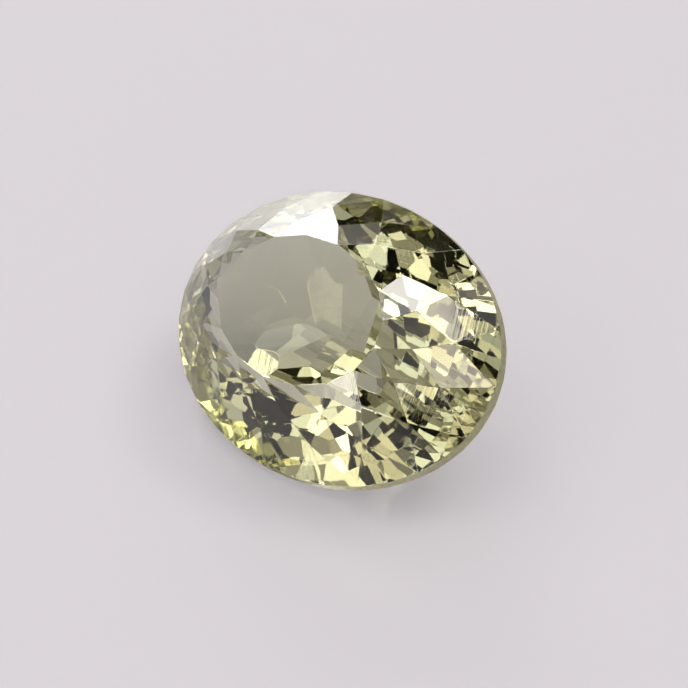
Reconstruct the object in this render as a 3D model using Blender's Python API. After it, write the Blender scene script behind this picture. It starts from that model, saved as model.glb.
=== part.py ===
"""An oval faceted sillimanite, resting on one facet of its pavilion.

The stone is cut by taking flat facets off an oval blank, and laid on the facet that it rests on.
Crown and pavilion are both lattices of kites, whose tips lie on rings round the stone. The rings of
the crown are the outline made smaller. Those of the pavilion are the outline moved inwards by the
same distance all round, so that a row has one slope and the pavilion ends in a short keel. Lengths
named _M are in metres. Radii, heights and depths with no unit are shares of the stone's half width,
and angles are in degrees.
"""

import math

import bmesh
import bpy
from mathutils import Matrix, Vector

# Size of the stone
LENGTH_M = 0.0090
LENGTH_TO_WIDTH = 1.31

# Facets in each row, and sides of the blank's round outline
FOLD = 16
OUTLINE_SIDES = 128

# Girdle, the frosted band round the widest part
GIRDLE_HEIGHT = 0.081

# Crown, as radii of its meeting points, from the table's corners out to the girdle
CROWN_HEIGHT = 0.598
TABLE_RADIUS = 0.510
STAR_TIP_RADIUS = 0.655
KITE_TIP_RADIUS = 0.815

# Pavilion, as distances of the rings of its kite tips from the keel out to the girdle
PAVILION_RADII = (0.0, 0.115, 0.36, 0.455, 0.80, 1.0)
PAVILION_TURN = 16.875

# The kite that the stone rests on: its row, place in the row and slope, and the way the stone
# leans from above
REST_ROW = 2
REST_KITE = 3
REST_SLOPE = 35.7
LEAN_DIRECTION = 223.2

# How much further up the stone the rest facet lies than the others of its row, which widens it
REST_FACET_LIFT = 0.013

# Looks of polished pale yellow-green sillimanite
STONE_COLOUR = (0.80, 0.84, 0.62, 1.0)
STONE_ROUGHNESS = 0.02
STONE_IOR = 1.66

# Points nearer than this, in shares of the half width, are one point
MEETING_TOLERANCE = 1e-5

STEP = 360.0 / FOLD
HALF_STEP = STEP / 2.0
HALF_GIRDLE = GIRDLE_HEIGHT / 2.0


def clear_scene():
    for obj in list(bpy.data.objects):
        bpy.data.objects.remove(obj)


def at(radius, angle, height):
    """The point at this radius, angle and height over the girdle's middle, with the oval's stretch."""
    turn = math.radians(angle)
    return Vector((LENGTH_TO_WIDTH * radius * math.cos(turn), radius * math.sin(turn), height))


def outward(angle):
    """The way that the oval outline faces at this angle."""
    turn = math.radians(angle)
    return Vector((math.cos(turn) / LENGTH_TO_WIDTH, math.sin(turn), 0.0)).normalized()


def inset_at(radius, angle, height):
    """The point of the outline at this angle, moved inwards to this ring of the pavilion."""
    return at(1.0, angle, height) - outward(angle) * (1.0 - radius)


def new_blank():
    """A blank of the oval outline, taller than the finished stone."""
    blank = bmesh.new()
    depths, slopes = pavilion_rows()
    height = 2.0 * (CROWN_HEIGHT + depths[0] + GIRDLE_HEIGHT)
    bmesh.ops.create_cone(
        blank,
        cap_ends=True,
        cap_tris=False,
        segments=OUTLINE_SIDES,
        radius1=1.0,
        radius2=1.0,
        depth=height,
    )
    bmesh.ops.scale(blank, vec=(LENGTH_TO_WIDTH, 1.0, 1.0), verts=blank.verts)
    return blank


def take_off(stone, point, normal):
    """Cuts one flat facet: what lies beyond the plane goes, and the cut is closed."""
    cut = bmesh.ops.bisect_plane(
        stone,
        geom=stone.verts[:] + stone.edges[:] + stone.faces[:],
        dist=MEETING_TOLERANCE,
        plane_co=point,
        plane_no=normal,
        clear_outer=True,
    )
    rim = [item for item in cut["geom_cut"] if isinstance(item, bmesh.types.BMEdge)]
    open_rim = [edge for edge in rim if edge.is_boundary]
    if open_rim:
        bmesh.ops.contextual_create(stone, geom=open_rim)


def take_off_through(stone, first, second, third):
    """Cuts the facet that passes through three points, facing away from the stone's middle."""
    normal = (second - first).cross(third - first).normalized()
    if normal.dot(first) < 0.0:
        normal.negate()
    take_off(stone, first, normal)


def crown_heights():
    """Heights over the girdle of the star tips and the kite tips.

    The inner kites pass through a table corner and two star tips. The outer kites pass through a
    star tip and two kite tips, and their own tips end on the girdle. Both follow from the radii.
    """
    chord = math.cos(math.radians(HALF_STEP))
    reach = (KITE_TIP_RADIUS - TABLE_RADIUS) / (STAR_TIP_RADIUS * chord - TABLE_RADIUS)
    outer = (1.0 - STAR_TIP_RADIUS) / (KITE_TIP_RADIUS * chord - STAR_TIP_RADIUS)
    star = outer * CROWN_HEIGHT * (reach - 1.0) / (1.0 - outer + outer * reach)
    kite = CROWN_HEIGHT - reach * (CROWN_HEIGHT - star)
    return HALF_GIRDLE + star, HALF_GIRDLE + kite


def cut_crown(stone):
    table_height = HALF_GIRDLE + CROWN_HEIGHT
    star_height, kite_height = crown_heights()
    take_off(stone, Vector((0.0, 0.0, table_height)), Vector((0.0, 0.0, 1.0)))
    for index in range(FOLD):
        angle = index * STEP
        corner = at(TABLE_RADIUS, angle, table_height)
        next_corner = at(TABLE_RADIUS, angle + STEP, table_height)
        star_tip = at(STAR_TIP_RADIUS, angle + HALF_STEP, star_height)
        last_star_tip = at(STAR_TIP_RADIUS, angle - HALF_STEP, star_height)
        kite_tip = at(KITE_TIP_RADIUS, angle, kite_height)
        next_kite_tip = at(KITE_TIP_RADIUS, angle + STEP, kite_height)
        under_kite = at(1.0, angle, HALF_GIRDLE)
        take_off_through(stone, corner, next_corner, star_tip)
        take_off_through(stone, corner, star_tip, last_star_tip)
        take_off_through(stone, star_tip, kite_tip, next_kite_tip)
        for side in (-HALF_STEP, HALF_STEP):
            take_off_through(stone, kite_tip, under_kite, at(1.0, angle + side, HALF_GIRDLE))


def ring_angle(ring, index):
    """Direction of a meeting point of the pavilion, whose rings are half a step apart in turn."""
    return PAVILION_TURN + (index + 0.5 * ((ring - REST_ROW) % 2)) * STEP


def pavilion_rows():
    """Depths of the pavilion's rings under the girdle's middle, from the keel out, and row slopes.

    On a round stone a kite passes through its inner tip, two side tips on the next ring and an
    outer tip on the ring after that, so the first slope settles all the others. The rest row's
    slope sets their scale. The slopes are rises for a run of one.
    """
    chord = math.cos(math.radians(HALF_STEP))
    rises = [0.0, PAVILION_RADII[1] * chord]
    slopes = []
    for ring in range(2, len(PAVILION_RADII)):
        inner, side, outer = PAVILION_RADII[ring - 2:ring + 1]
        slope = (rises[ring - 1] - rises[ring - 2]) / (side * chord - inner)
        rises.append(rises[ring - 2] + slope * (outer - inner))
        slopes.append(slope)
    scale = math.tan(math.radians(REST_SLOPE)) / slopes[REST_ROW]
    depths = [HALF_GIRDLE + (rises[-1] - rise) * scale for rise in rises]
    return depths, [slope * scale for slope in slopes]


def cut_pavilion(stone):
    depths, slopes = pavilion_rows()
    girdle_ring = len(PAVILION_RADII) - 1
    for ring in range(girdle_ring - 1):
        for index in range(FOLD):
            angle = ring_angle(ring, index)
            lift = REST_FACET_LIFT if (ring, index) == (REST_ROW, REST_KITE) else 0.0
            inner_tip = inset_at(PAVILION_RADII[ring], angle, lift - depths[ring])
            normal = outward(angle) * slopes[ring] - Vector((0.0, 0.0, 1.0))
            take_off(stone, inner_tip, normal.normalized())
    last_ring = girdle_ring - 1
    for index in range(FOLD):
        angle = ring_angle(last_ring, index)
        tip = inset_at(PAVILION_RADII[last_ring], angle, -depths[last_ring])
        over_tip = at(1.0, angle, -HALF_GIRDLE)
        for side in (-HALF_STEP, HALF_STEP):
            take_off_through(stone, tip, over_tip, at(1.0, angle + side, -HALF_GIRDLE))


def rest_facet_normal():
    """The outward normal of the facet that the stone rests on."""
    steepness = math.radians(REST_SLOPE)
    sideways = outward(ring_angle(REST_ROW, REST_KITE)) * math.sin(steepness)
    return sideways - Vector((0.0, 0.0, math.cos(steepness)))


def size_and_lay_down(stone):
    """Gives the stone its real size and lays it on its rest facet, over the middle of its box."""
    half_width = LENGTH_M / LENGTH_TO_WIDTH / 2.0
    size = Matrix.Diagonal((half_width, half_width, half_width, 1.0))
    normal = rest_facet_normal()
    lay_down = normal.rotation_difference(Vector((0.0, 0.0, -1.0))).to_matrix().to_4x4()
    facet_direction = math.degrees(math.atan2(normal.y, normal.x))
    turn = Matrix.Rotation(math.radians(LEAN_DIRECTION - facet_direction), 4, "Z")
    bmesh.ops.transform(stone, matrix=turn @ lay_down @ size, verts=stone.verts)
    lows = [min(vert.co[axis] for vert in stone.verts) for axis in range(3)]
    highs = [max(vert.co[axis] for vert in stone.verts) for axis in range(3)]
    middle = Vector(((lows[0] + highs[0]) / 2.0, (lows[1] + highs[1]) / 2.0, lows[2]))
    bmesh.ops.translate(stone, vec=-middle, verts=stone.verts)


def stone_material():
    material = bpy.data.materials.new("polished_sillimanite")
    material.use_nodes = True
    shader = material.node_tree.nodes["Principled BSDF"]
    shader.inputs["Base Color"].default_value = STONE_COLOUR
    shader.inputs["Roughness"].default_value = STONE_ROUGHNESS
    shader.inputs["Metallic"].default_value = 0.0
    shader.inputs["IOR"].default_value = STONE_IOR
    shader.inputs["Transmission Weight"].default_value = 1.0
    material.diffuse_color = STONE_COLOUR
    return material


def add_stone():
    stone = new_blank()
    cut_crown(stone)
    cut_pavilion(stone)
    bmesh.ops.remove_doubles(stone, verts=stone.verts, dist=MEETING_TOLERANCE)
    bmesh.ops.recalc_face_normals(stone, faces=stone.faces)
    size_and_lay_down(stone)
    mesh = bpy.data.meshes.new("stone")
    stone.to_mesh(mesh)
    stone.free()
    mesh.materials.append(stone_material())
    obj = bpy.data.objects.new("stone", mesh)
    bpy.context.scene.collection.objects.link(obj)
    return obj


clear_scene()
add_stone()
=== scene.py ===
"""An oval faceted sillimanite, lying on one facet of its pavilion on a pale studio floor.

The stone is cut in millimetres, one flat facet after another, then brought down to metres and set
into the place of the plain stone of the frame. Radii, heights and depths with no unit are shares
of the stone's half width, and angles are in degrees. Other lengths with no unit are in metres.
"""

import math

import bpy
from mathutils import Matrix, Vector


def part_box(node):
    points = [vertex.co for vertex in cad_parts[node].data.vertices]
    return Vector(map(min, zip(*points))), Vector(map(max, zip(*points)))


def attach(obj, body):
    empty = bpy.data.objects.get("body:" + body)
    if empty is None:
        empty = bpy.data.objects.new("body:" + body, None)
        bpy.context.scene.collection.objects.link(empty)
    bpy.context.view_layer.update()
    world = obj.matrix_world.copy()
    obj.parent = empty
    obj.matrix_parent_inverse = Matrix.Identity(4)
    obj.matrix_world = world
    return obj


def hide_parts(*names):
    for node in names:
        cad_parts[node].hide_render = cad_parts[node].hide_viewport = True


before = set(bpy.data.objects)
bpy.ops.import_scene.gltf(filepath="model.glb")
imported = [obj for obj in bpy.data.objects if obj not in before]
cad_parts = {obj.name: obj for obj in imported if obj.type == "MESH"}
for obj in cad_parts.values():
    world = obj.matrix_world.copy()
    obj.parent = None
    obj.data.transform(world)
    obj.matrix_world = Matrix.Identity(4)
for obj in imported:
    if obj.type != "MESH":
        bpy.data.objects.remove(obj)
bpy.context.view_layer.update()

# One millimetre in metres
MM = 0.001

# Size of the stone, its facets in a row round the stone, and the sides of its round outline
LENGTH_MM = 9.0
LENGTH_TO_WIDTH = 1.31
FOLD = 16
OUTLINE_SIDES = 128
GIRDLE_HEIGHT = 0.081

# Crown, as radii of its meeting points, from the table's corners out to the girdle
CROWN_HEIGHT = 0.598
TABLE_RADIUS = 0.510
STAR_TIP_RADIUS = 0.655
KITE_TIP_RADIUS = 0.815

# Pavilion, as distances of the rings of its kite tips from the keel out to the girdle
PAVILION_RADII = (0.0, 0.115, 0.36, 0.455, 0.80, 1.0)
PAVILION_TURN = 16.875

# The kite that the stone rests on: its row, place in the row and slope, how much further up the
# stone it is ground than the others of its row, and the way the stone leans from above
REST_ROW = 2
REST_KITE = 3
REST_SLOPE = 35.7
REST_FACET_LIFT = 0.013
LEAN_DIRECTION = 223.2

# Points nearer than this are one point
MEETING_TOLERANCE_MM = 3e-5

# Width of the wear along the facets' edges
EDGE_WEAR_MM = 0.006

# Crystal: how it bends light and what a metre of it takes out
STONE_IOR = 1.66
ABSORPTION_COLOUR = (0.67, 0.66, 0.15, 1.0)
ABSORPTION_PER_M = 100.0

# Polish of the facets, with the fine lines that the wheel left
FACET_ROUGHNESS = 0.025
FACET_COLOUR = (0.77, 0.78, 0.76, 1.0)
POLISH_LINES_PER_M = 12000.0
POLISH_LINE_DETAIL = 1.0
POLISH_LINE_DEPTH_M = 1.5e-7
WHEEL_DIRECTION = (0.31, 0.85, 0.42)

# Frost on the girdle, and half the width over which it fades into the polish
GIRDLE_ROUGHNESS = 0.50
GIRDLE_DARK = (0.34, 0.31, 0.32, 1.0)
GIRDLE_PALE = (0.56, 0.52, 0.55, 1.0)
FROST_GRAINS_PER_M = 9000.0
FROST_DETAIL = 3.0
FROST_DARK_BELOW = 0.35
FROST_PALE_ABOVE = 0.65
FROST_FADE_M = 0.000004

# Glossy pale board that the stone lies on
BOARD_SIZE = 3.0
BOARD_COLOUR = (0.266, 0.254, 0.271, 1.0)
BOARD_ROUGHNESS = 0.18
BOARD_IOR = 1.3

# Wide light over the board
BOARD_FILL_W = 24.0
BOARD_FILL_SIZE = 1.6
BOARD_FILL_HEIGHT = 0.8

# Even faint light from all round
SKY = 0.004

# Soft lights: their distance from the stone, and the watts that a square metre of them takes for
# a radiance of one
LIGHT_DISTANCE = 0.6
WATTS_PER_RADIANCE = 4.0

# Coolest and warmest tint of the soft lights, and the share of the way between them that the tint
# moves on from one light to the next, starting again past the warmest
COOL_LIGHT = Vector((0.97, 0.985, 1.0))
WARM_LIGHT = Vector((1.0, 0.90, 0.74))
WARMTH_STEP = 0.382

# Each soft light's direction, height over the board, half angle wide, half angle high and radiance
SOFTBOXES = (
    (-175.8, 17.7, 10.1, 12.0, 1.15),
    (-173.3, 76.0, 10.4, 5.6, 1.25),
    (-159.1, 39.3, 5.4, 7.7, 1.19),
    (-149.8, 21.1, 2.5, 4.1, 2.19),
    (-146.7, 43.4, 4.9, 10.2, 1.20),
    (-141.0, 47.9, 18.8, 10.6, 0.37),
    (-129.7, 12.3, 24.0, 3.3, 0.78),
    (-127.8, 6.0, 14.1, 3.0, 6.24),
    (-127.7, 26.8, 4.1, 16.0, 1.17),
    (-111.1, 56.4, 5.4, 2.6, 0.93),
    (-72.8, 21.5, 6.5, 4.1, 2.72),
    (-67.1, 40.5, 17.6, 5.8, 0.60),
    (-53.2, 59.1, 18.8, 4.0, 0.89),
    (-37.2, 45.5, 3.8, 4.6, 4.48),
    (-10.9, 45.9, 9.9, 3.2, 0.23),
    (21.5, 54.3, 13.9, 5.7, 5.85),
    (26.1, 59.9, 7.6, 10.7, 2.50),
    (34.5, 36.2, 6.4, 14.0, 0.67),
    (43.5, 41.3, 3.9, 13.8, 1.32),
    (71.0, 23.2, 5.8, 3.7, 0.57),
    (72.3, 8.4, 12.1, 10.2, 0.21),
    (76.5, 25.0, 14.5, 4.9, 2.03),
    (78.2, 62.6, 20.9, 5.3, 1.62),
    (81.3, 18.5, 5.8, 6.0, 0.71),
    (99.8, 9.6, 9.3, 23.8, 5.75),
    (101.6, 72.7, 9.6, 4.2, 1.39),
    (113.1, 84.2, 22.0, 3.7, 0.88),
    (116.4, 43.7, 5.7, 8.8, 6.24),
    (128.3, 38.8, 24.0, 3.3, 0.89),
    (147.7, 45.9, 9.1, 4.8, 0.55),
    (153.3, 62.9, 3.7, 9.4, 1.55),
    (162.4, 55.8, 19.4, 3.7, 0.21),
    (163.6, 15.7, 5.8, 9.3, 1.35),
    (168.1, 36.1, 3.5, 10.0, 0.23),
    (172.2, 37.1, 10.3, 6.1, 0.89),
    (178.8, 58.2, 4.1, 6.3, 2.33),
)

# Picture: its side in pixels, its scale, and the pixel that the girdle's middle falls on
PICTURE_SIDE = 688.0
PIXELS_PER_MM = 42.9
MIDDLE_ACROSS = 341.5
MIDDLE_DOWN = 340.4

# Camera with a long lens: its height over the board as an angle, and its roll
CAMERA_LIFT = 41.68
CAMERA_ROLL = -2.56
CAMERA_DISTANCE = 0.30
SENSOR_WIDTH_MM = 36.0
CLIP_START = 0.01
CLIP_END = 10.0

# How often light may bounce in all, and how often at glossy and at clear faces
ALL_BOUNCES = 24
CLEAR_BOUNCES = 20

STEP = 360.0 / FOLD
HALF_STEP = STEP / 2.0
HALF_GIRDLE = GIRDLE_HEIGHT / 2.0
HALF_WIDTH_MM = LENGTH_MM / LENGTH_TO_WIDTH / 2.0
UP = Vector((0.0, 0.0, 1.0))


def outward(angle):
    """The way that the oval outline faces at this angle, on the upright stone."""
    turn = math.radians(angle)
    return Vector((math.cos(turn) / LENGTH_TO_WIDTH, math.sin(turn), 0.0)).normalized()


def ring_angle(ring, index):
    """Direction of a meeting point of the pavilion, whose rings are half a step apart in turn."""
    return PAVILION_TURN + (index + 0.5 * ((ring - REST_ROW) % 2)) * STEP


def rest_facet_normal():
    """The outward normal of the facet that the stone rests on, before the stone is laid down."""
    steepness = math.radians(REST_SLOPE)
    sideways = outward(ring_angle(REST_ROW, REST_KITE)) * math.sin(steepness)
    return sideways - UP * math.cos(steepness)


def lying_turn():
    """The rotation that lays the upright stone on its rest facet and leans it the right way."""
    normal = rest_facet_normal()
    lay_down = normal.rotation_difference(-UP).to_matrix()
    facet_direction = math.degrees(math.atan2(normal.y, normal.x))
    turn = Matrix.Rotation(math.radians(LEAN_DIRECTION - facet_direction), 3, "Z")
    return turn @ lay_down


LYING = lying_turn()


def at(radius, angle, height):
    """The point at this radius, angle and height over the girdle, on the lying stone in mm."""
    turn = math.radians(angle)
    point = Vector((LENGTH_TO_WIDTH * radius * math.cos(turn), radius * math.sin(turn), height))
    return LYING @ (point * HALF_WIDTH_MM)


def inset_at(radius, angle, height):
    """The point of the outline at this angle, moved inwards to this ring of the pavilion."""
    inwards = outward(angle) * (radius - 1.0) * HALF_WIDTH_MM
    return at(1.0, angle, height) + LYING @ inwards


def deselect_all():
    bpy.ops.object.select_all(action="DESELECT")


def grind(point, normal):
    """Cuts the flat facet that faces this way at this point, and closes the cut."""
    bpy.ops.mesh.select_all(action="SELECT")
    bpy.ops.mesh.bisect(
        plane_co=point,
        plane_no=normal,
        use_fill=True,
        clear_outer=True,
        threshold=MEETING_TOLERANCE_MM,
    )


def grind_through(first, second, third):
    """Cuts the flat facet through three points, facing away from the stone's middle."""
    normal = (second - first).cross(third - first).normalized()
    if normal.dot(first) < 0.0:
        normal.negate()
    grind(first, normal)


def crown_heights():
    """Heights over the girdle's middle of the star tips and the kite tips, from the radii."""
    chord = math.cos(math.radians(HALF_STEP))
    reach = (KITE_TIP_RADIUS - TABLE_RADIUS) / (STAR_TIP_RADIUS * chord - TABLE_RADIUS)
    outer = (1.0 - STAR_TIP_RADIUS) / (KITE_TIP_RADIUS * chord - STAR_TIP_RADIUS)
    star = outer * CROWN_HEIGHT * (reach - 1.0) / (1.0 - outer + outer * reach)
    kite = CROWN_HEIGHT - reach * (CROWN_HEIGHT - star)
    return HALF_GIRDLE + star, HALF_GIRDLE + kite


def cut_crown():
    """Cuts the table, then the stars, both rows of kites and the upper girdle facets."""
    top = HALF_GIRDLE + CROWN_HEIGHT
    star_height, kite_height = crown_heights()
    grind(at(0.0, 0.0, top), LYING @ UP)
    for index in range(FOLD):
        angle = index * STEP
        corner = at(TABLE_RADIUS, angle, top)
        next_corner = at(TABLE_RADIUS, angle + STEP, top)
        star_tip = at(STAR_TIP_RADIUS, angle + HALF_STEP, star_height)
        last_star_tip = at(STAR_TIP_RADIUS, angle - HALF_STEP, star_height)
        kite_tip = at(KITE_TIP_RADIUS, angle, kite_height)
        next_kite_tip = at(KITE_TIP_RADIUS, angle + STEP, kite_height)
        under_kite = at(1.0, angle, HALF_GIRDLE)
        grind_through(corner, next_corner, star_tip)
        grind_through(corner, star_tip, last_star_tip)
        grind_through(star_tip, kite_tip, next_kite_tip)
        for side in (-HALF_STEP, HALF_STEP):
            grind_through(kite_tip, under_kite, at(1.0, angle + side, HALF_GIRDLE))


def pavilion_rows():
    """Depths of the pavilion's rings under the girdle's middle, and the slopes of its rows.

    Both run from the keel out. The slopes are rises for a run of one.
    """
    chord = math.cos(math.radians(HALF_STEP))
    rises = [0.0, PAVILION_RADII[1] * chord]
    slopes = []
    for ring in range(2, len(PAVILION_RADII)):
        inner, side, outer = PAVILION_RADII[ring - 2:ring + 1]
        slope = (rises[ring - 1] - rises[ring - 2]) / (side * chord - inner)
        rises.append(rises[ring - 2] + slope * (outer - inner))
        slopes.append(slope)
    scale = math.tan(math.radians(REST_SLOPE)) / slopes[REST_ROW]
    depths = [HALF_GIRDLE + (rises[-1] - rise) * scale for rise in rises]
    return depths, [slope * scale for slope in slopes]


def cut_pavilion():
    """Cuts the rows of kites from the keel out, then the lower girdle facets."""
    depths, slopes = pavilion_rows()
    last_ring = len(PAVILION_RADII) - 2
    for ring in range(last_ring):
        for index in range(FOLD):
            angle = ring_angle(ring, index)
            lift = REST_FACET_LIFT if (ring, index) == (REST_ROW, REST_KITE) else 0.0
            inner_tip = inset_at(PAVILION_RADII[ring], angle, lift - depths[ring])
            normal = outward(angle) * slopes[ring] - UP
            grind(inner_tip, LYING @ normal.normalized())
    for index in range(FOLD):
        angle = ring_angle(last_ring, index)
        tip = inset_at(PAVILION_RADII[last_ring], angle, -depths[last_ring])
        over_tip = at(1.0, angle, -HALF_GIRDLE)
        for side in (-HALF_STEP, HALF_STEP):
            grind_through(tip, over_tip, at(1.0, angle + side, -HALF_GIRDLE))


def new_blank():
    """A turned blank of the oval outline, taller than the finished stone."""
    depths, slopes = pavilion_rows()
    height = 2.0 * (CROWN_HEIGHT + depths[0] + GIRDLE_HEIGHT) * HALF_WIDTH_MM
    deselect_all()
    bpy.ops.mesh.primitive_cylinder_add(
        vertices=OUTLINE_SIDES,
        radius=HALF_WIDTH_MM,
        depth=height,
        end_fill_type="NGON",
        rotation=LYING.to_euler(),
        scale=(LENGTH_TO_WIDTH, 1.0, 1.0),
    )
    blank = bpy.context.object
    bpy.ops.object.transform_apply(location=True, rotation=True, scale=True)
    return blank


def set_in_place(stone):
    """Brings the stone from millimetres to metres and sets it into the plain stone's box.

    Gives back where the middle of its girdle then is.
    """
    low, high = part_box("stone")
    stone.scale = (MM, MM, MM)
    bpy.ops.object.transform_apply(location=True, rotation=True, scale=True)
    lows = [min(vert.co[axis] for vert in stone.data.vertices) for axis in range(3)]
    highs = [max(vert.co[axis] for vert in stone.data.vertices) for axis in range(3)]
    stone.location = [
        (low[axis] + high[axis] - lows[axis] - highs[axis]) / 2.0 for axis in range(3)
    ]
    middle = Vector(stone.location)
    bpy.ops.object.transform_apply(location=True, rotation=True, scale=True)
    return middle


def make_stone():
    """Cuts the whole stone, wears its edges and sets it in place."""
    stone = new_blank()
    stone.name = "cut_stone"
    bpy.ops.object.mode_set(mode="EDIT")
    cut_crown()
    cut_pavilion()
    bpy.ops.mesh.select_all(action="SELECT")
    bpy.ops.mesh.remove_doubles(threshold=MEETING_TOLERANCE_MM)
    bpy.ops.mesh.normals_make_consistent(inside=False)
    bpy.ops.mesh.bevel(
        offset=EDGE_WEAR_MM,
        segments=1,
        affect="EDGES",
        clamp_overlap=True,
    )
    bpy.ops.object.mode_set(mode="OBJECT")
    middle = set_in_place(stone)
    return stone, middle


def add_node(tree, kind, x, y, **settings):
    """A new node of this kind at this place of the tree's layout."""
    node = tree.nodes.new(kind)
    node.location = (x, y)
    for name, value in settings.items():
        setattr(node, name, value)
    return node


def new_group(name, inputs, outputs):
    """An empty node group with these sockets, each a name and its kind."""
    group = bpy.data.node_groups.new(name, "ShaderNodeTree")
    for label, kind in inputs:
        group.interface.new_socket(label, in_out="INPUT", socket_type=kind)
    for label, kind in outputs:
        group.interface.new_socket(label, in_out="OUTPUT", socket_type=kind)
    start = add_node(group, "NodeGroupInput", -800, 0)
    end = add_node(group, "NodeGroupOutput", 600, 0)
    return group, start, end


def girdle_band_group(middle):
    """A mask that is one on the girdle's band and nought on the facets over and under it."""
    group, start, end = new_group(
        "girdle_band", [("Place", "NodeSocketVector")], [("Band", "NodeSocketFloat")]
    )
    from_middle = add_node(group, "ShaderNodeVectorMath", -600, 0, operation="SUBTRACT")
    from_middle.inputs[1].default_value = middle
    along_axis = add_node(group, "ShaderNodeVectorMath", -400, 0, operation="DOT_PRODUCT")
    along_axis.inputs[1].default_value = LYING @ UP
    height = add_node(group, "ShaderNodeMath", -200, 0, operation="ABSOLUTE")
    band = add_node(group, "ShaderNodeMapRange", 0, 0)
    edge = HALF_GIRDLE * HALF_WIDTH_MM * MM
    band.inputs["From Min"].default_value = edge + FROST_FADE_M
    band.inputs["From Max"].default_value = edge - FROST_FADE_M
    group.links.new(start.outputs["Place"], from_middle.inputs[0])
    group.links.new(from_middle.outputs["Vector"], along_axis.inputs[0])
    group.links.new(along_axis.outputs["Value"], height.inputs[0])
    group.links.new(height.outputs["Value"], band.inputs["Value"])
    group.links.new(band.outputs["Result"], end.inputs["Band"])
    return group


def frost_group():
    """The uneven pale grey of the ground, unpolished girdle."""
    group, start, end = new_group(
        "girdle_frost", [("Place", "NodeSocketVector")], [("Colour", "NodeSocketColor")]
    )
    grains = add_node(group, "ShaderNodeTexNoise", -400, 0)
    grains.inputs["Scale"].default_value = FROST_GRAINS_PER_M
    grains.inputs["Detail"].default_value = FROST_DETAIL
    shades = add_node(group, "ShaderNodeValToRGB", -100, 0)
    dark, pale = shades.color_ramp.elements
    dark.position = FROST_DARK_BELOW
    dark.color = GIRDLE_DARK
    pale.position = FROST_PALE_ABOVE
    pale.color = GIRDLE_PALE
    group.links.new(start.outputs["Place"], grains.inputs["Vector"])
    group.links.new(grains.outputs["Fac"], shades.inputs["Fac"])
    group.links.new(shades.outputs["Color"], end.inputs["Colour"])
    return group


def polish_lines_group():
    """Fine parallel lines across each facet, whose direction follows from the way it faces."""
    group, start, end = new_group(
        "polish_lines",
        [("Place", "NodeSocketVector"), ("Facing", "NodeSocketVector")],
        [("Height", "NodeSocketFloat")],
    )
    across = add_node(group, "ShaderNodeVectorMath", -600, 0, operation="CROSS_PRODUCT")
    across.inputs[1].default_value = WHEEL_DIRECTION
    unit = add_node(group, "ShaderNodeVectorMath", -400, 0, operation="NORMALIZE")
    run = add_node(group, "ShaderNodeVectorMath", -200, 0, operation="DOT_PRODUCT")
    lines = add_node(group, "ShaderNodeTexNoise", 0, 0, noise_dimensions="1D")
    lines.inputs["Scale"].default_value = POLISH_LINES_PER_M
    lines.inputs["Detail"].default_value = POLISH_LINE_DETAIL
    group.links.new(start.outputs["Facing"], across.inputs[0])
    group.links.new(across.outputs["Vector"], unit.inputs[0])
    group.links.new(unit.outputs["Vector"], run.inputs[0])
    group.links.new(start.outputs["Place"], run.inputs[1])
    group.links.new(run.outputs["Value"], lines.inputs["W"])
    group.links.new(lines.outputs["Fac"], end.inputs["Height"])
    return group


def polished_sillimanite(middle):
    """Clear crystal with polished facets and a frosted girdle round this middle."""
    material = bpy.data.materials.new("polished_sillimanite_look")
    material.use_nodes = True
    tree = material.node_tree
    shader = tree.nodes["Principled BSDF"]
    shader.inputs["IOR"].default_value = STONE_IOR
    shader.inputs["Transmission Weight"].default_value = 1.0
    place = add_node(tree, "ShaderNodeTexCoord", -1000, 0)
    facing = add_node(tree, "ShaderNodeNewGeometry", -1000, -300)

    girdle = add_node(tree, "ShaderNodeGroup", -700, 100, node_tree=girdle_band_group(middle))
    roughness = add_node(tree, "ShaderNodeMapRange", -400, 100)
    roughness.inputs["To Min"].default_value = FACET_ROUGHNESS
    roughness.inputs["To Max"].default_value = GIRDLE_ROUGHNESS
    tree.links.new(place.outputs["Object"], girdle.inputs["Place"])
    tree.links.new(girdle.outputs["Band"], roughness.inputs["Value"])
    tree.links.new(roughness.outputs["Result"], shader.inputs["Roughness"])

    tint = add_node(tree, "ShaderNodeMix", -400, 400, data_type="RGBA")
    tint.inputs["A"].default_value = FACET_COLOUR
    frost = add_node(tree, "ShaderNodeGroup", -700, 400, node_tree=frost_group())
    tree.links.new(place.outputs["Object"], frost.inputs["Place"])
    tree.links.new(frost.outputs["Colour"], tint.inputs["B"])
    tree.links.new(girdle.outputs["Band"], tint.inputs["Factor"])
    tree.links.new(tint.outputs["Result"], shader.inputs["Base Color"])

    lines = add_node(tree, "ShaderNodeGroup", -700, -200, node_tree=polish_lines_group())
    bump = add_node(tree, "ShaderNodeBump", -400, -200)
    bump.inputs["Strength"].default_value = 1.0
    bump.inputs["Distance"].default_value = POLISH_LINE_DEPTH_M
    tree.links.new(place.outputs["Object"], lines.inputs["Place"])
    tree.links.new(facing.outputs["True Normal"], lines.inputs["Facing"])
    tree.links.new(lines.outputs["Height"], bump.inputs["Height"])
    tree.links.new(bump.outputs["Normal"], shader.inputs["Normal"])

    absorb = add_node(tree, "ShaderNodeVolumeAbsorption", 0, -400)
    absorb.inputs["Color"].default_value = ABSORPTION_COLOUR
    absorb.inputs["Density"].default_value = ABSORPTION_PER_M
    tree.links.new(absorb.outputs["Volume"], tree.nodes["Material Output"].inputs["Volume"])
    return material


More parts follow.
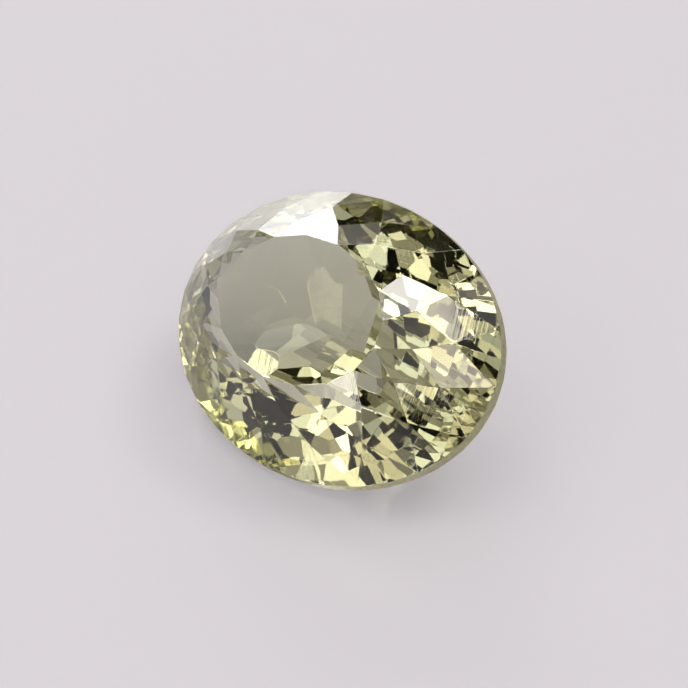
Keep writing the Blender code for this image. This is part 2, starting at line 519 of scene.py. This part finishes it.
def studio_floor():
    """The board, with its surface at the stone's lowest face."""
    deselect_all()
    bpy.ops.mesh.primitive_plane_add(size=BOARD_SIZE, location=(0.0, 0.0, 0.0))
    floor = bpy.context.object
    floor.name = "studio_floor"
    material = bpy.data.materials.new("glossy_pale_board")
    material.use_nodes = True
    shader = material.node_tree.nodes["Principled BSDF"]
    shader.inputs["Base Color"].default_value = BOARD_COLOUR
    shader.inputs["Roughness"].default_value = BOARD_ROUGHNESS
    shader.inputs["IOR"].default_value = BOARD_IOR
    floor.data.materials.append(material)


def board_fill():
    """A wide overhead light for the board alone, which evens out the stone's shadow."""
    bpy.ops.object.light_add(type="AREA", location=(0.0, 0.0, BOARD_FILL_HEIGHT))
    fill = bpy.context.object
    fill.name = "board_fill"
    fill.data.shape = "SQUARE"
    fill.data.size = BOARD_FILL_SIZE
    fill.data.energy = BOARD_FILL_W
    fill.data.use_shadow = False
    fill.visible_camera = False
    fill.visible_glossy = False
    fill.visible_transmission = False


def softbox(name, azimuth, elevation, half_wide, half_high, radiance):
    """A flat soft light that faces the stone, with its half angles as seen from there."""
    turn = math.radians(azimuth)
    lift = math.radians(elevation)
    level = math.cos(lift)
    away = Vector((level * math.cos(turn), level * math.sin(turn), math.sin(lift)))
    wide = 2.0 * LIGHT_DISTANCE * math.tan(math.radians(half_wide))
    high = 2.0 * LIGHT_DISTANCE * math.tan(math.radians(half_high))
    bpy.ops.object.light_add(type="AREA", location=away * LIGHT_DISTANCE)
    lamp = bpy.context.object
    lamp.name = name
    lamp.rotation_euler = away.to_track_quat("Z", "Y").to_euler()
    lamp.data.shape = "RECTANGLE"
    lamp.data.size = wide
    lamp.data.size_y = high
    lamp.data.energy = radiance * wide * high * WATTS_PER_RADIANCE
    lamp.visible_camera = False
    return lamp


def studio_light():
    """The board's light, the soft lights in their tints and the faint light from all round."""
    board_fill()
    for number, row in enumerate(SOFTBOXES):
        lamp = softbox(f"softbox_{number + 1}", *row)
        warmth = (number * WARMTH_STEP) % 1.0
        lamp.data.color = COOL_LIGHT.lerp(WARM_LIGHT, warmth)
    world = bpy.data.worlds.new("studio")
    world.use_nodes = True
    world.node_tree.nodes["Background"].inputs["Color"].default_value = (SKY, SKY, SKY, 1.0)
    bpy.context.scene.world = world


def picture_camera(middle):
    """The camera with a long lens, aimed so that the girdle's middle falls on its pixel."""
    lift = math.radians(CAMERA_LIFT)
    roll = math.radians(CAMERA_ROLL)
    forward = Vector((0.0, math.cos(lift), -math.sin(lift)))
    level = Vector((1.0, 0.0, 0.0))
    right = level * math.cos(roll) + level.cross(forward) * math.sin(roll)
    up = right.cross(forward)
    pixel = MM / PIXELS_PER_MM
    across = (PICTURE_SIDE / 2.0 - MIDDLE_ACROSS) * pixel
    down = (PICTURE_SIDE / 2.0 - MIDDLE_DOWN) * pixel
    aim = middle + right * across - up * down
    bpy.ops.object.camera_add(location=aim - forward * CAMERA_DISTANCE)
    camera = bpy.context.object
    camera.name = "picture_camera"
    camera.rotation_euler = Matrix((right, up, -forward)).transposed().to_euler()
    camera.data.sensor_width = SENSOR_WIDTH_MM
    camera.data.lens = SENSOR_WIDTH_MM * CAMERA_DISTANCE / (PICTURE_SIDE * pixel)
    camera.data.clip_start = CLIP_START
    camera.data.clip_end = CLIP_END
    bpy.context.scene.camera = camera


stone, middle = make_stone()
stone.data.materials.clear()
stone.data.materials.append(polished_sillimanite(middle))
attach(stone, "root")
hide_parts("stone")
studio_floor()
studio_light()
picture_camera(middle)

scene = bpy.context.scene
scene.view_settings.view_transform = "Standard"
scene.cycles.max_bounces = ALL_BOUNCES
scene.cycles.glossy_bounces = CLEAR_BOUNCES
scene.cycles.transmission_bounces = CLEAR_BOUNCES
